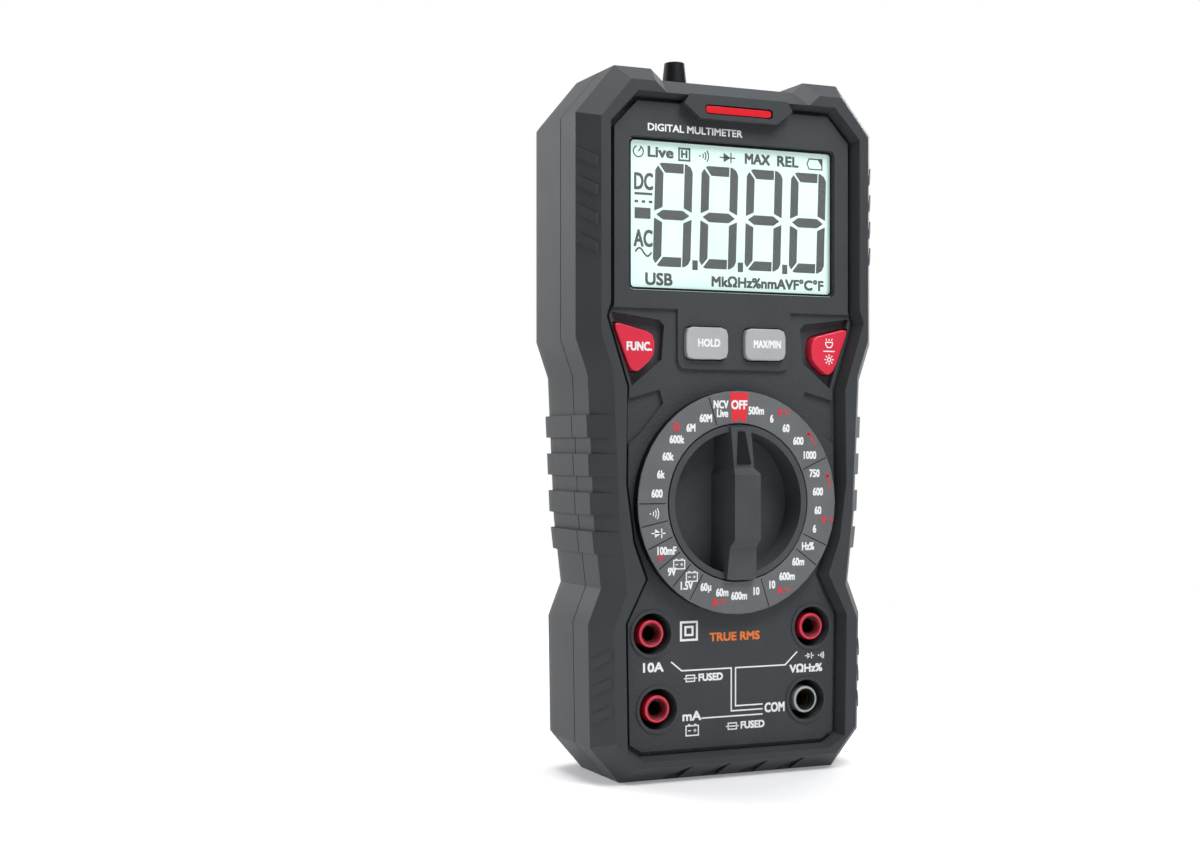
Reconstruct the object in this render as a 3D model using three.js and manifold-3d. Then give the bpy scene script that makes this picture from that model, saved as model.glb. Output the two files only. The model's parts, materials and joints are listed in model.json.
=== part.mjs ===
// A handheld digital multimeter, modelled as the pieces that it comes apart into.
// Millimetres, +Z up. It stands on its foot, its front faces -Y and +X is on the reader's right.
// Depths are counted from the front panel's face, towards the back; the last group moves the
// panel so that the origin lies on the floor under the middle of the meter.
import * as THREE from "three";
import { mergeVertices } from "three/addons/utils/BufferGeometryUtils.js";
import Module from "manifold-3d";

const wasm = await Module();
wasm.setup();

// ---------------------------------------------------------------- driving dimensions
const bodyHeight = 175; // floor to the tops of the ears
const shoulderHalf = 41.6; // half width beside the display
const waistHalf = 34.9; // half width between the dial and the sockets
const footHalf = 38.3; // half width beside the sockets
const caseDepth = 35; // panel face to the flat back
const dialRadius = 27.7; // fixed scale ring
const knobRadius = 19.3; // turning cup inside the ring
const knobProud = 7.6; // grip bar in front of the panel
const ridgeProud = 3.2; // bumper's ridge in front of the panel
const gripProud = 0.8; // side ribs above the body
const wall = 2.2; // moulded walls
const gap = 0.3; // between pieces that touch
const through = 60; // cutters reach this far past what they cut

// Heights, stacked from the floor to the display.
const socketLowZ = 17.8;
const socketHighZ = 36.3;
const dialZ = socketHighZ + dialRadius + 4.2;
const buttonZ = dialZ + dialRadius + 11.6;
const windowBottom = buttonZ + 12.6;
const windowTop = bodyHeight - 17.4;
const hipHalf = dialRadius + 10.2; // half width beside the dial

// Depths of the layers, from the panel's face backwards.
const flangeDepth = 1.2; // step from the panel down to the flange under the bumper
const panelRear = 3;
const parting = 12; // where the front and rear cases meet
const boardFront = 10;
const boardRear = 11.6;
const cavityRear = 28; // inside of the thick back wall
const recessFloor = caseDepth - 3.9; // floor behind the folded stand

const frontEdge = { inset: 4.2, depth: 6, steps: 1 }; // slope outside the bumper's ridge
const rearEdge = { inset: 7, depth: 9, steps: 3 }; // rounding towards the back

// ---------------------------------------------------------------- outlines and solids
// Outlines are lists of [x, z] corners, clockwise as seen from the front.

// The whole outline from its right half, which is given from the top down.
function mirrored(half) {
  return [...half, ...half.map(([x, z]) => [-x, z]).reverse()];
}

// The same outline in the other half of the front view.
function flipped(outline) {
  return outline.map(([x, z]) => [-x, z]).reverse();
}

function rectangle(left, right, bottom, top) {
  return [
    [left, top],
    [right, top],
    [right, bottom],
    [left, bottom],
  ];
}

// Moves every edge outwards by a distance, or inwards where the distance is negative.
function offset(outline, distance) {
  const corners = outline.map(([x, z]) => new THREE.Vector2(x, z));
  const outward = (from, to) => to.clone().sub(from).normalize().rotateAround(new THREE.Vector2(), Math.PI / 2);
  return corners.map((corner, i) => {
    const before = outward(corners.at(i - 1), corner);
    const after = outward(corner, corners[(i + 1) % corners.length]);
    const move = before.clone().add(after).multiplyScalar(distance / (1 + before.dot(after)));
    return [corner.x + move.x, corner.y + move.y];
  });
}

// Rounds every corner with a short curve that starts a given distance before it.
function rounded(outline, reach, steps = 2) {
  return outline.flatMap(([x, z], i) => {
    const corner = new THREE.Vector2(x, z);
    const [start, end] = [outline.at(i - 1), outline[(i + 1) % outline.length]].map(([u, v]) => {
      const along = new THREE.Vector2(u, v).sub(corner);
      return corner.clone().add(along.setLength(Math.min(reach, along.length() / 2.5)));
    });
    const curve = new THREE.QuadraticBezierCurve(start, corner, end);
    return curve.getPoints(steps).map((point) => [point.x, point.y]);
  });
}

// A closed three.js geometry as a solid that can be joined and cut.
function solid(geometry) {
  const bare = geometry.clone();
  bare.deleteAttribute("normal");
  bare.deleteAttribute("uv");
  const merged = mergeVertices(bare, 1e-4);
  return new wasm.Manifold(
    new wasm.Mesh({
      numProp: 3,
      vertProperties: merged.attributes.position.array,
      triVerts: new Uint32Array(merged.index.array),
    }),
  );
}

function geometryOf(shape) {
  const mesh = shape.getMesh();
  return new THREE.BufferGeometry()
    .setAttribute("position", new THREE.BufferAttribute(new Float32Array(mesh.vertProperties), 3))
    .setIndex(new THREE.BufferAttribute(new Uint32Array(mesh.triVerts), 1));
}

function extruded(outline, options) {
  const shape = new THREE.Shape(outline.map(([x, z]) => new THREE.Vector2(x, z)));
  return new THREE.ExtrudeGeometry(shape, { curveSegments: 4, ...options });
}

// A straight-sided solid between two depths.
function prism(outline, front, rear) {
  const geometry = extruded(outline, { depth: rear - front, bevelEnabled: false });
  return solid(geometry.rotateX(Math.PI / 2).translate(0, rear, 0));
}

// The same with both ends narrowed by an edge, and the outline at its widest part.
function edged(outline, front, rear, edge) {
  const geometry = extruded(outline, {
    depth: rear - front - 2 * edge.depth,
    bevelThickness: edge.depth,
    bevelSize: edge.inset,
    bevelOffset: -edge.inset,
    bevelSegments: edge.steps,
  });
  return solid(geometry.rotateX(Math.PI / 2).translate(0, rear - edge.depth, 0));
}

// A body with a front edge of its own and a rear edge of its own.
function shell(outline, front, rear, edgeFront, edgeRear) {
  return edged(outline, front, rear + through, edgeFront).intersect(
    edged(outline, front - through, rear, edgeRear),
  );
}

function box(left, right, front, rear, bottom, top) {
  return solid(
    new THREE.BoxGeometry(right - left, rear - front, top - bottom).translate(
      (left + right) / 2,
      (front + rear) / 2,
      (bottom + top) / 2,
    ),
  );
}

// A round bar or hole from front to rear.
function rod(radius, x, z, front, rear, facets = 20) {
  return solid(
    new THREE.CylinderGeometry(radius, radius, rear - front, facets).translate(x, (front + rear) / 2, z),
  );
}

// A round bar or hole from bottom to top.
function uprightRod(radius, x, depth, bottom, top, facets = 20) {
  return solid(
    new THREE.CylinderGeometry(radius, radius, top - bottom, facets)
      .rotateX(Math.PI / 2)
      .translate(x, depth, (bottom + top) / 2),
  );
}

// A round bar or hole from left to right.
function crossRod(radius, depth, z, left, right, facets = 16) {
  return solid(
    new THREE.CylinderGeometry(radius, radius, right - left, facets)
      .rotateZ(Math.PI / 2)
      .translate((left + right) / 2, depth, z),
  );
}

// A turned piece about its own front-to-rear axis, from [radius, depth] corners:
// down the outside from front to rear, and back along the inside.
function turned(profile, facets = 20) {
  const points = profile.map(([radius, depth]) => new THREE.Vector2(radius, depth));
  return solid(new THREE.LatheGeometry([...points, points[0]], facets));
}

// A profile of [depth, z] corners, extruded from left to right.
function sideProfile(corners, left, right) {
  const shape = new THREE.Shape(corners.map(([depth, z]) => new THREE.Vector2(depth, z)));
  const turn = new THREE.Matrix4().makeBasis(
    new THREE.Vector3(0, 1, 0),
    new THREE.Vector3(0, 0, 1),
    new THREE.Vector3(1, 0, 0),
  );
  const geometry = new THREE.ExtrudeGeometry(shape, { depth: right - left, bevelEnabled: false });
  return solid(geometry.applyMatrix4(turn).translate(left, 0, 0));
}

function joined(shapes) {
  return shapes.reduce((sum, shape) => sum.add(shape));
}

const bothSides = [-1, 1];

// ---------------------------------------------------------------- the assembly's group
const meter = new THREE.Group();
meter.position.y = (knobProud - caseDepth - gripProud) / 2;

function finish(color, roughness, metalness = 0) {
  return new THREE.MeshStandardMaterial({ color, roughness, metalness });
}

const casePlastic = finish(0x45484b, 0.7);
const bumperRubber = finish(0x3a3d40, 0.85);
const ringPlastic = finish(0x5a5c5f, 0.7);
const redPlastic = finish(0xd9344a, 0.45);
const greyPlastic = finish(0x8e8f90, 0.6);
const blackPlastic = finish(0x17181a, 0.6);
const clearPlastic = finish(0xe8f4f0, 0.08);
const displayGlass = finish(0xdff5ee, 0.2);
const whitePlastic = finish(0xf1f1ec, 0.5);
const boardLaminate = finish(0x1f6b3a, 0.6);
const brass = finish(0xc8a24a, 0.3, 1);
const steel = finish(0xb9bcc0, 0.3, 1);
const ceramic = finish(0xe9e4d8, 0.6);
const batteryWrap = finish(0x30343a, 0.4);
const contactRubber = finish(0xd88a9a, 0.8);

function add(name, shape, material, x = 0, z = 0) {
  const mesh = new THREE.Mesh(geometryOf(shape), material);
  mesh.name = name;
  mesh.position.set(x, 0, z);
  meter.add(mesh);
}

// ---------------------------------------------------------------- body outlines
const crownZ = bodyHeight - 2.7; // top between the ears
const crownHalf = 18.4;

const bodyOutline = mirrored([
  [crownHalf, crownZ],
  [crownHalf + 3.1, bodyHeight],
  [shoulderHalf - 10.2, bodyHeight],
  [shoulderHalf, bodyHeight - 12.2],
  [shoulderHalf, buttonZ + 1],
  [hipHalf + 0.5, buttonZ - 8.2],
  [hipHalf, dialZ + 19.8],
  [hipHalf - 1.1, dialZ - 4.2],
  [waistHalf, dialZ - dialRadius + 7],
  [footHalf, socketHighZ + 2.7],
  [footHalf - 0.5, 9],
  [footHalf - 8.3, 0],
]);

const panelOutline = mirrored([
  [shoulderHalf - 14.9, bodyHeight - 8.8],
  [shoulderHalf - 8.7, bodyHeight - 15.4],
  [shoulderHalf - 8.7, buttonZ + 9],
  [shoulderHalf - 7.6, buttonZ + 6.1],
  [dialRadius + 0.9, buttonZ - 10.6],
  [dialRadius + 1.2, dialZ + 4.8],
  [dialRadius - 0.7, dialZ - 9.2],
  [dialRadius - 4.2, dialZ - dialRadius + 9.2],
  [footHalf - 9.3, socketHighZ + 2.7],
  [footHalf - 9.8, 9.5],
  [footHalf - 12.9, 7.6],
]);

// ---------------------------------------------------------------- grip ribs and raised marks
const ribCount = 4;
const ribHeight = 5.4;
const ribPitch = 9.45;
const ribLowZ = dialZ - 12.2;
const ribReach = 30.3; // the ribs stop here on the back

function gripRibs() {
  const grownEdge = { ...frontEdge, inset: frontEdge.inset + gripProud };
  const grown = shell(
    offset(bodyOutline, gripProud),
    -ridgeProud,
    caseDepth + gripProud,
    grownEdge,
    rearEdge,
  );
  const slabs = Array.from({ length: ribCount }, (_, i) => ribLowZ + i * ribPitch).flatMap((bottom) => [
    box(ribReach, through, -through, through, bottom, bottom + ribHeight),
    box(-through, -ribReach, -through, through, bottom, bottom + ribHeight),
  ]);
  return grown.intersect(joined(slabs));
}

const markProud = 0.4;
const markHeight = 2.4;
const markFront = -2.4; // the marks cross the outer slope between these depths
const markRear = 2.2;
const lowMarks = { count: 3, bottom: 14.7, pitch: 6.65, climb: 2.6 };
const highMarks = { count: 4, bottom: windowBottom + 11.2, pitch: 6.85, climb: -2.7 };

// Slanted bars on the outer slope, which climb from their rear end to their front end.
function slopeMarks() {
  const grown = shell(offset(bodyOutline, markProud), -ridgeProud, caseDepth, frontEdge, rearEdge);
  const bars = [lowMarks, highMarks].flatMap(({ count, bottom, pitch, climb }) =>
    Array.from({ length: count }, (_, i) => bottom + i * pitch).map((z) =>
      sideProfile(
        [
          [markRear, z],
          [markFront, z + climb],
          [markFront, z + climb + markHeight],
          [markRear, z + markHeight],
        ],
        -through,
        through,
      ),
    ),
  );
  return grown.intersect(joined(bars));
}

const outerBody = joined([
  shell(bodyOutline, -ridgeProud, caseDepth, frontEdge, rearEdge),
  gripRibs(),
  slopeMarks(),
]);

// ---------------------------------------------------------------- alarm light guide
const lightHalf = 9.2;
const lightBottom = bodyHeight - 10.9;
const lightTop = bodyHeight - 9.1;
const lightCorner = 0.9;
const lightWindowHalf = 6.4;
const lightWindowBottom = bodyHeight - 13.3;
const lightWindowTop = bodyHeight - 6.2;
const lightCoreHalf = 5;
const lightRecess = 0.2; // the bar lies this far under the boss

// The bar's outline, or the slot's at a distance round it.
function lightOutline(distance) {
  return rounded(offset(rectangle(-lightHalf, lightHalf, lightBottom, lightTop), distance), lightCorner);
}

function alarmLightGuide() {
  const bar = prism(lightOutline(0), lightRecess - ridgeProud, panelRear + 2);
  const half = lightCoreHalf;
  const core = box(-half, half, panelRear + 1, cavityRear - 1, lightWindowBottom, crownZ - 6);
  const inside = shell(offset(bodyOutline, -gap), -ridgeProud, caseDepth - gap, frontEdge, rearEdge);
  const head = box(
    -lightWindowHalf,
    lightWindowHalf,
    cavityRear - 2,
    caseDepth,
    lightWindowBottom,
    lightWindowTop,
  ).intersect(inside);
  return joined([bar, core, head]);
}

// ---------------------------------------------------------------- front bumper
const grooveWidth = 1.1; // around the panel
const ridgeLean = 0.9; // the ridge's inner wall leans back by this
const bumperWall = 1.8;
const bossHalf = 15.2;
const bossTop = bodyHeight - 6.5;
const bossWaist = bodyHeight - 8.9;
const bossBottom = bodyHeight - 12.4;
const bezelProud = 0.7; // the display's surround stands above the panel
const treadCount = 4;
const treadPitch = 10.6;
const treadDepth = 0.9;
const slopeEnd = frontEdge.depth - ridgeProud; // depth where the outer slope meets the side

// The slope of the case under the bumper, from a flange depth back to the side wall.
function innerEdge(flange) {
  const depth = slopeEnd - flange;
  return { inset: (frontEdge.inset * depth) / frontEdge.depth, depth, steps: 1 };
}

// Slanted notches along the bottom edge of the front.
function treads() {
  const first = (-treadCount * treadPitch) / 2 + 3;
  const notches = Array.from({ length: treadCount }, (_, i) => first + i * treadPitch).map((x) =>
    prism(
      [
        [x + 5.7, frontEdge.inset - 0.5],
        [x + 3.4, -1],
        [x - 0.6, -1],
        [x, 1.2],
      ],
      -through,
      slopeEnd,
    ),
  );
  const core = shell(offset(bodyOutline, -treadDepth), -ridgeProud, caseDepth, frontEdge, rearEdge);
  return joined(notches).subtract(core);
}

function frontBumper() {
  const underside = flangeDepth - gap;
  const caseSpace = edged(
    offset(bodyOutline, -bumperWall),
    underside,
    parting + through,
    innerEdge(underside),
  );
  const opening = extruded(offset(panelOutline, grooveWidth), {
    depth: through,
    bevelThickness: ridgeProud,
    bevelSize: ridgeLean,
    bevelSegments: 1,
  });
  const openingSolid = solid(opening.rotateX(Math.PI / 2).translate(0, -ridgeProud, 0));
  const straight = prism(offset(panelOutline, grooveWidth), -gap, panelRear);
  const boss = prism(
    mirrored([
      [bossHalf - 1.5, bossTop],
      [bossHalf, bossWaist],
      [bossHalf - 4.4, bossBottom],
    ]),
    -ridgeProud,
    -bezelProud - gap,
  );
  const slot = prism(lightOutline(gap), -through, through);
  const front = box(-through, through, -through, parting, -through, bodyHeight + through);
  return outerBody
    .intersect(front)
    .subtract(caseSpace)
    .subtract(openingSolid)
    .subtract(straight)
    .subtract(treads())
    .add(boss)
    .subtract(slot);
}

// ---------------------------------------------------------------- display window
const windowHalf = shoulderHalf - 12.7;
const windowBorder = 1.7; // ledge that the lens rests on
const lensFront = 0.35;
const lensRear = 1.35;

const windowCorner = 1.5;

// The window's outline at a distance outside its edge, or inside it where that is negative.
function windowOutline(distance) {
  const corners = rectangle(-windowHalf, windowHalf, windowBottom, windowTop);
  return rounded(offset(corners, distance), windowCorner);
}

// ---------------------------------------------------------------- buttons
const sideButtonProud = 0.7;
const middleButtonProud = bezelProud + 1.2;
const buttonTravel = 1;
const buttonFlange = 0.8;
const flangeThickness = 0.8;
const sideRecessDepth = 1.7; // round the shaped buttons
const facetDepth = 0.8; // pockets between those recesses and the dial

// Corners of the right shaped button and of the recess round it.
const sideButtonOutline = [
  [22.2, buttonZ + 2.2],
  [33.3, buttonZ + 4.9],
  [28.7, buttonZ - 6.6],
  [26.5, buttonZ - 7.4],
  [21.9, buttonZ - 3.1],
];
const sideRecessOutline = [
  [20.5, buttonZ + 5.6],
  [33.4, buttonZ + 7.2],
  [27.9, buttonZ - 10.7],
  [19.9, buttonZ - 4.2],
  [19.2, buttonZ + 4.3],
];
const middleButtonOutline = rectangle(2.4, 14, buttonZ - 3.9, buttonZ + 4);
const buttonCorner = 1.9;
const facetOutline = [
  [dialRadius - 7.2, dialZ + 27.8],
  [dialRadius + 3, dialZ + 25],
  [dialRadius + 3, dialZ + 13],
  [dialRadius - 1.9, dialZ + 16.8],
  [dialRadius - 8.3, dialZ + 24.5],
];

// The display's surround, with a tab below it that the middle buttons pass through.
const bezelBottom = windowBottom - 4.3;
const tabBottom = buttonZ - 6.4;
const tabHalf = 15.8;

const sideButton = { proud: sideButtonProud, material: redPlastic };
const middleButton = { proud: middleButtonProud, material: greyPlastic };
const buttons = [
  { name: "function_button", outline: flipped(sideButtonOutline), ...sideButton },
  { name: "light_button", outline: sideButtonOutline, ...sideButton },
  { name: "hold_button", outline: flipped(middleButtonOutline), ...middleButton },
  { name: "max_min_button", outline: middleButtonOutline, ...middleButton },
];

function button({ outline, proud }) {
  const cap = prism(rounded(outline, buttonCorner), -proud, panelRear + gap + flangeThickness);
  const flange = prism(
    rounded(offset(outline, buttonFlange), buttonCorner),
    panelRear + gap,
    panelRear + gap + flangeThickness,
  );
  return cap.add(flange);
}

const keypadFront = panelRear + gap + flangeThickness + buttonTravel + gap;
const keypadThickness = 1;
const keypadFoot = { radius: 1.4, middleX: 8.2, sideX: 27 };

function keypad() {
  const sheet = box(
    -keypadFoot.sideX - 4,
    keypadFoot.sideX + 4,
    keypadFront,
    keypadFront + keypadThickness,
    buttonZ - 7,
    buttonZ + 5,
  );
  const feet = [keypadFoot.middleX, keypadFoot.sideX].flatMap((x) =>
    bothSides.map((side) => rod(keypadFoot.radius, side * x, buttonZ, keypadFront, boardFront - gap, 12)),
  );
  return joined([sheet, ...feet]);
}

// ---------------------------------------------------------------- sockets
const socketWell = 5.1; // radius of the well round each sleeve
const rimWidth = 0.8; // each well has a raised rim
const rimProud = 0.3;
const shroudWall = 1.3;
const shroudRear = 19;
const sleeveRadius = 3.4;
const mouthRadius = 2.5; // the sleeve opens out at its mouth
const mouthDepth = 1.4;
const plugRadius = 2;
const barrelWall = 0.7;
const sleeveLip = 2.4;
const sleeveFloor = 1.5;

const sockets = [
  { use: "amp", x: -22.5, z: socketHighZ, material: redPlastic },
  { use: "volt", x: 22.5, z: socketHighZ, material: redPlastic },
  { use: "milliamp", x: -20.9, z: socketLowZ, material: redPlastic },
  { use: "common", x: 20.9, z: socketLowZ, material: greyPlastic },
];

// The insulating sleeve stands in the well and closes its bottom.
function socketSleeve() {
  const bore = plugRadius + barrelWall + gap;
  const floor = shroudRear - sleeveFloor;
  return turned([
    [sleeveRadius, gap],
    [sleeveRadius, floor],
    [socketWell - gap, floor],
    [socketWell - gap, shroudRear],
    [bore, shroudRear],
    [bore, sleeveLip],
    [plugRadius, sleeveLip],
    [plugRadius, mouthDepth],
    [mouthRadius, gap],
  ]);
}

function socketBarrel() {
  const radius = plugRadius + barrelWall;
  return turned(
    [
      [radius, sleeveLip + gap],
      [radius, shroudRear + 1],
      [plugRadius, shroudRear + 1],
      [plugRadius, sleeveLip + gap],
    ],
    16,
  );
}

// ---------------------------------------------------------------- screws
const screwX = 22.6;
const screwZs = [socketHighZ - 9.3, dialZ + 25.8];
const screwShank = 1.4;
const screwHead = 2.6;
const screwHeadHeight = 1.8;
const screwTip = 6.5;
const headFloor = recessFloor - 2.3; // counterbore in the recess floor

const screwPlaces = screwZs.flatMap((z) => bothSides.map((side) => [side * screwX, z]));

function caseScrew() {
  const head = rod(screwHead, 0, 0, headFloor + gap, headFloor + gap + screwHeadHeight, 16);
  const shank = rod(screwShank, 0, 0, screwTip, headFloor + gap + 0.5, 12);
  const slot = (turn) =>
    solid(new THREE.BoxGeometry(3, 1.6, 0.6).rotateY(turn).translate(0, headFloor + gap + screwHeadHeight, 0));
  return head.add(shank).subtract(slot(0)).subtract(slot(Math.PI / 2));
}

// ---------------------------------------------------------------- front case
const caseInset = bumperWall + gap; // the front case lies inside the bumper
const dialCollar = knobRadius + 3.4; // neck of the scale ring, through the panel
const bossRadius = 2.9;

function bezel() {
  const surround = prism(panelOutline, -bezelProud, 1).intersect(
    box(-through, through, -through, through, bezelBottom, bodyHeight),
  );
  const tabOutline = rounded(rectangle(-tabHalf, tabHalf, tabBottom, bezelBottom + 3), 2.6, 3);
  const tab = prism(tabOutline, -bezelProud, 1);
  return surround.add(tab);
}

function frontCase() {
  const envelope = edged(
    offset(bodyOutline, -caseInset),
    flangeDepth,
    parting + through,
    innerEdge(flangeDepth),
  ).intersect(box(-through, through, -through, parting, -through, bodyHeight + through));
  const cavity = prism(offset(bodyOutline, -caseInset - wall), panelRear, parting + through);
  const shrouds = sockets.map(({ x, z }) => rod(socketWell + shroudWall, x, z, flangeDepth, shroudRear));
  const rims = sockets.map(({ x, z }) => rod(socketWell + rimWidth, x, z, -rimProud, panelRear, 28));
  const wells = sockets.map(({ x, z }) => rod(socketWell, x, z, -through, through, 28));
  const bosses = screwPlaces.map(([x, z]) => rod(bossRadius, x, z, panelRear - 1, parting, 14));
  const pilots = screwPlaces.map(([x, z]) => rod(screwShank + gap, x, z, panelRear, through, 12));
  const recesses = [
    prism(windowOutline(0), -through, lensRear),
    prism(sideRecessOutline, -through, sideRecessDepth),
    prism(flipped(sideRecessOutline), -through, sideRecessDepth),
    prism(facetOutline, -through, facetDepth),
    prism(flipped(facetOutline), -through, facetDepth),
  ];
  const openings = [
    prism(windowOutline(-windowBorder), -through, through),
    rod(dialCollar + gap, 0, dialZ, -through, through, 40),
    prism(lightOutline(gap), -through, through),
    ...buttons.map(({ outline }) => prism(rounded(offset(outline, gap), buttonCorner), -through, through)),
  ];
  return envelope
    .subtract(cavity)
    .add(prism(panelOutline, 0, panelRear))
    .add(bezel())
    .add(joined([...shrouds, ...bosses, ...rims]))
    .subtract(joined([...wells, ...pilots, ...recesses, ...openings]));
}

// ---------------------------------------------------------------- display parts
const displayFront = panelRear + gap;
const displayThickness = 2;
const displayMargin = 1.6; // the display reaches this far behind the panel, all round
const backlightThickness = 2;
const frameWall = 1.4;
const connectorHeight = 2;

const displayOutline = rectangle(
  -windowHalf - displayMargin,
  windowHalf + displayMargin,
  windowBottom - displayMargin,
  windowTop + displayMargin,
);

function displayFrame() {
  return prism(offset(displayOutline, gap + frameWall), displayFront, boardFront - gap).subtract(
    prism(offset(displayOutline, gap), -through, through),
  );
}

function displayConnector() {
  const bottom = windowBottom - displayMargin + gap;
  const rear = boardFront - gap;
  const front = displayFront + displayThickness + gap;
  return box(-windowHalf + 4, windowHalf - 4, front, rear, bottom, bottom + connectorHeight);
}

function backlight() {
  const front = displayFront + displayThickness + gap;
  return box(
    -windowHalf,
    windowHalf,
    front,
    front + backlightThickness,
    windowBottom - displayMargin + connectorHeight + 3 * gap,
    windowTop,
  );
}

// ---------------------------------------------------------------- dial and knob
const ringProud = 3;
const ringRear = panelRear + 2.2;
const knobRim = 3; // the cup's rim in front of the panel
const wellFloor = 5; // depth of the finger wells' floor
const cupRear = 6.5;
const cupWall = 1.6;
const rotorRadius = knobRadius + 1.2;
const rotorThickness = 1.6;
const hubHalf = 3.5;

function dialPlate() {
  const bore = knobRadius + gap;
  return turned(
    [
      [dialRadius, -ringProud],
      [dialRadius, -gap],
      [dialCollar, -gap],
      [dialCollar, ringRear],
      [bore, ringRear],
      [bore, -ringProud],
    ],
    48,
  );
}

// The grip bar crosses the cup: high in the middle, stepped down to both ends.
function gripBar() {
  const side = sideProfile(
    [
      [wellFloor + 0.5, -knobRadius + 0.2],
      [-4.4, -knobRadius + 0.2],
      [-5.2, -knobRadius + 8.2],
      [-knobProud, -8.9],
      [-knobProud, 7],
      [-5.6, 8.6],
      [-4, knobRadius - 0.6],
      [wellFloor + 0.5, knobRadius - 0.6],
    ],
    -knobRadius,
    knobRadius,
  );
  const plan = prism(
    mirrored([
      [2.8, knobRadius],
      [2.8, 8.6],
      [3.6, 7],
      [3.6, -8.9],
      [4.1, -knobRadius],
    ]),
    -through,
    through,
  );
  return side.intersect(plan).intersect(rod(knobRadius, 0, 0, -through, through, 48));
}

function selectorKnob() {
  const cup = rod(knobRadius, 0, 0, -knobRim, cupRear, 48);
  const well = rod(knobRadius - cupWall, 0, 0, -through, wellFloor, 48);
  const hub = box(-hubHalf, hubHalf, cupRear - 1, boardFront - 0.6, -hubHalf, hubHalf);
  return cup.subtract(well).add(gripBar()).add(hub);
}

function rotor() {
  const front = cupRear + gap;
  const hole = hubHalf + gap;
  return rod(rotorRadius, 0, 0, front, front + rotorThickness, 32).subtract(
    box(-hole, hole, -through, through, -hole, hole),
  );
}

// A sprung contact strip under the rotor, bowed towards the board.
function wiper(side) {
  const front = cupRear + rotorThickness + 2 * gap;
  const strip = box(-2, 2, front, front + 0.5, 7, 17);
  const finger = box(-1, 1, front, boardFront - gap, 14, 15.5);
  const shape = strip.add(finger);
  return side > 0 ? shape : shape.rotate([0, 180, 0]);
}

// ---------------------------------------------------------------- circuit board and what is on it
const boardTop = bodyHeight - 17;
const boardBottom = 7;

function mainBoard() {
  const plate = prism(offset(bodyOutline, -caseInset - wall - 0.6), boardFront, boardRear);
  const clip = box(-through, through, boardFront, boardRear, boardBottom, boardTop);
  const holes = [
    ...sockets.map(({ x, z }) => rod(socketWell + shroudWall + gap, x, z, 0, through)),
    ...screwPlaces.map(([x, z]) => rod(bossRadius + gap, x, z, 0, through, 14)),
  ];
  return plate.intersect(clip).subtract(joined(holes));
}

function buzzer() {
  return rod(8.5, 0, 0, boardRear + gap, boardRear + 3.6, 20).subtract(
    rod(1.2, 0, 0, boardRear + 2.5, through, 10),
  );
}

// A thick bent wire that bridges the high-current socket and the common socket.
function shuntWire() {
  const depth = shroudRear + 1.9;
  const high = sockets.find(({ use }) => use === "amp");
  const common = sockets.find(({ use }) => use === "common");
  const path = new THREE.CatmullRomCurve3([
    new THREE.Vector3(high.x + 5, depth, high.z - 8),
    new THREE.Vector3(high.x + 12, depth, high.z - 10.5),
    new THREE.Vector3(common.x - 14, depth, common.z + 3),
    new THREE.Vector3(common.x - 6, depth, common.z - 1),
  ]);
  const section = new THREE.Shape().absarc(0, 0, 0.9, 0, 2 * Math.PI);
  return solid(new THREE.ExtrudeGeometry(section, { steps: 14, curveSegments: 4, extrudePath: path }));
}

// ---------------------------------------------------------------- batteries, fuses, tray
const cellRadius = 5.25;
const cellLength = 44.5;
const cellCount = 3;
const cellPitch = 2 * cellRadius + 0.4;
const cellDepth = cavityRear - cellRadius + gap;
const cellBottom = socketHighZ + 16.8;
const cellTop = cellBottom + cellLength;
const contactThickness = 0.5;
const trayWall = 0.8;
const trayHalf = (cellCount * cellPitch) / 2 + gap + trayWall;
const trayFloor = cellDepth - cellRadius - gap;
const trayBottom = cellBottom - 2.4;
const trayTop = cellTop + 2.4;

const ampFuseRadius = 5.1;
const milliampFuseRadius = 3.15;
const clipThickness = 0.6;

// Half the width of a fuse's clip.
function clipHalf(radius) {
  return radius + gap + clipThickness;
}

// The fuses lie across the meter, one under the other, below the tray.
const ampFuseZ = trayBottom - gap - clipHalf(ampFuseRadius);
const milliampFuseZ = ampFuseZ - clipHalf(ampFuseRadius) - gap - clipHalf(milliampFuseRadius);
const fuses = [
  { name: "amp_fuse", radius: ampFuseRadius, length: 31, z: ampFuseZ },
  { name: "milliamp_fuse", radius: milliampFuseRadius, length: 26, z: milliampFuseZ },
];

function fuseDepth(radius) {
  return cavityRear - radius - 0.6;
}

function cell() {
  const body = new THREE.CylinderGeometry(cellRadius, cellRadius, cellLength - 1, 20);
  const nub = new THREE.CylinderGeometry(1.9, 1.9, 1.5, 12);
  const bodySolid = solid(body.rotateX(Math.PI / 2).translate(0, cellDepth, (cellLength - 1) / 2));
  return bodySolid.add(solid(nub.rotateX(Math.PI / 2).translate(0, cellDepth, cellLength - 0.75)));
}

function fuse({ radius, length }) {
  const depth = fuseDepth(radius);
  const half = length / 2;
  const barrel = crossRod(radius - 0.4, depth, 0, -half, half, 18);
  const caps = bothSides.map((side) => {
    const ends = [side * half, side * (half - 6)].sort((a, b) => a - b);
    return crossRod(radius, depth, 0, ends[0], ends[1], 18);
  });
  return joined([barrel, ...caps]);
}

// A spring clip: a U of strip that the fuse's end cap is pushed into from behind.
function fuseClip({ radius }) {
  const depth = fuseDepth(radius);
  const inner = radius + gap;
  const outer = clipHalf(radius);
  const block = box(-2, 2, depth - outer, depth + 0.6 * radius, -outer, outer);
  return block.subtract(box(-through, through, depth - inner, through, -inner, inner));
}

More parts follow.
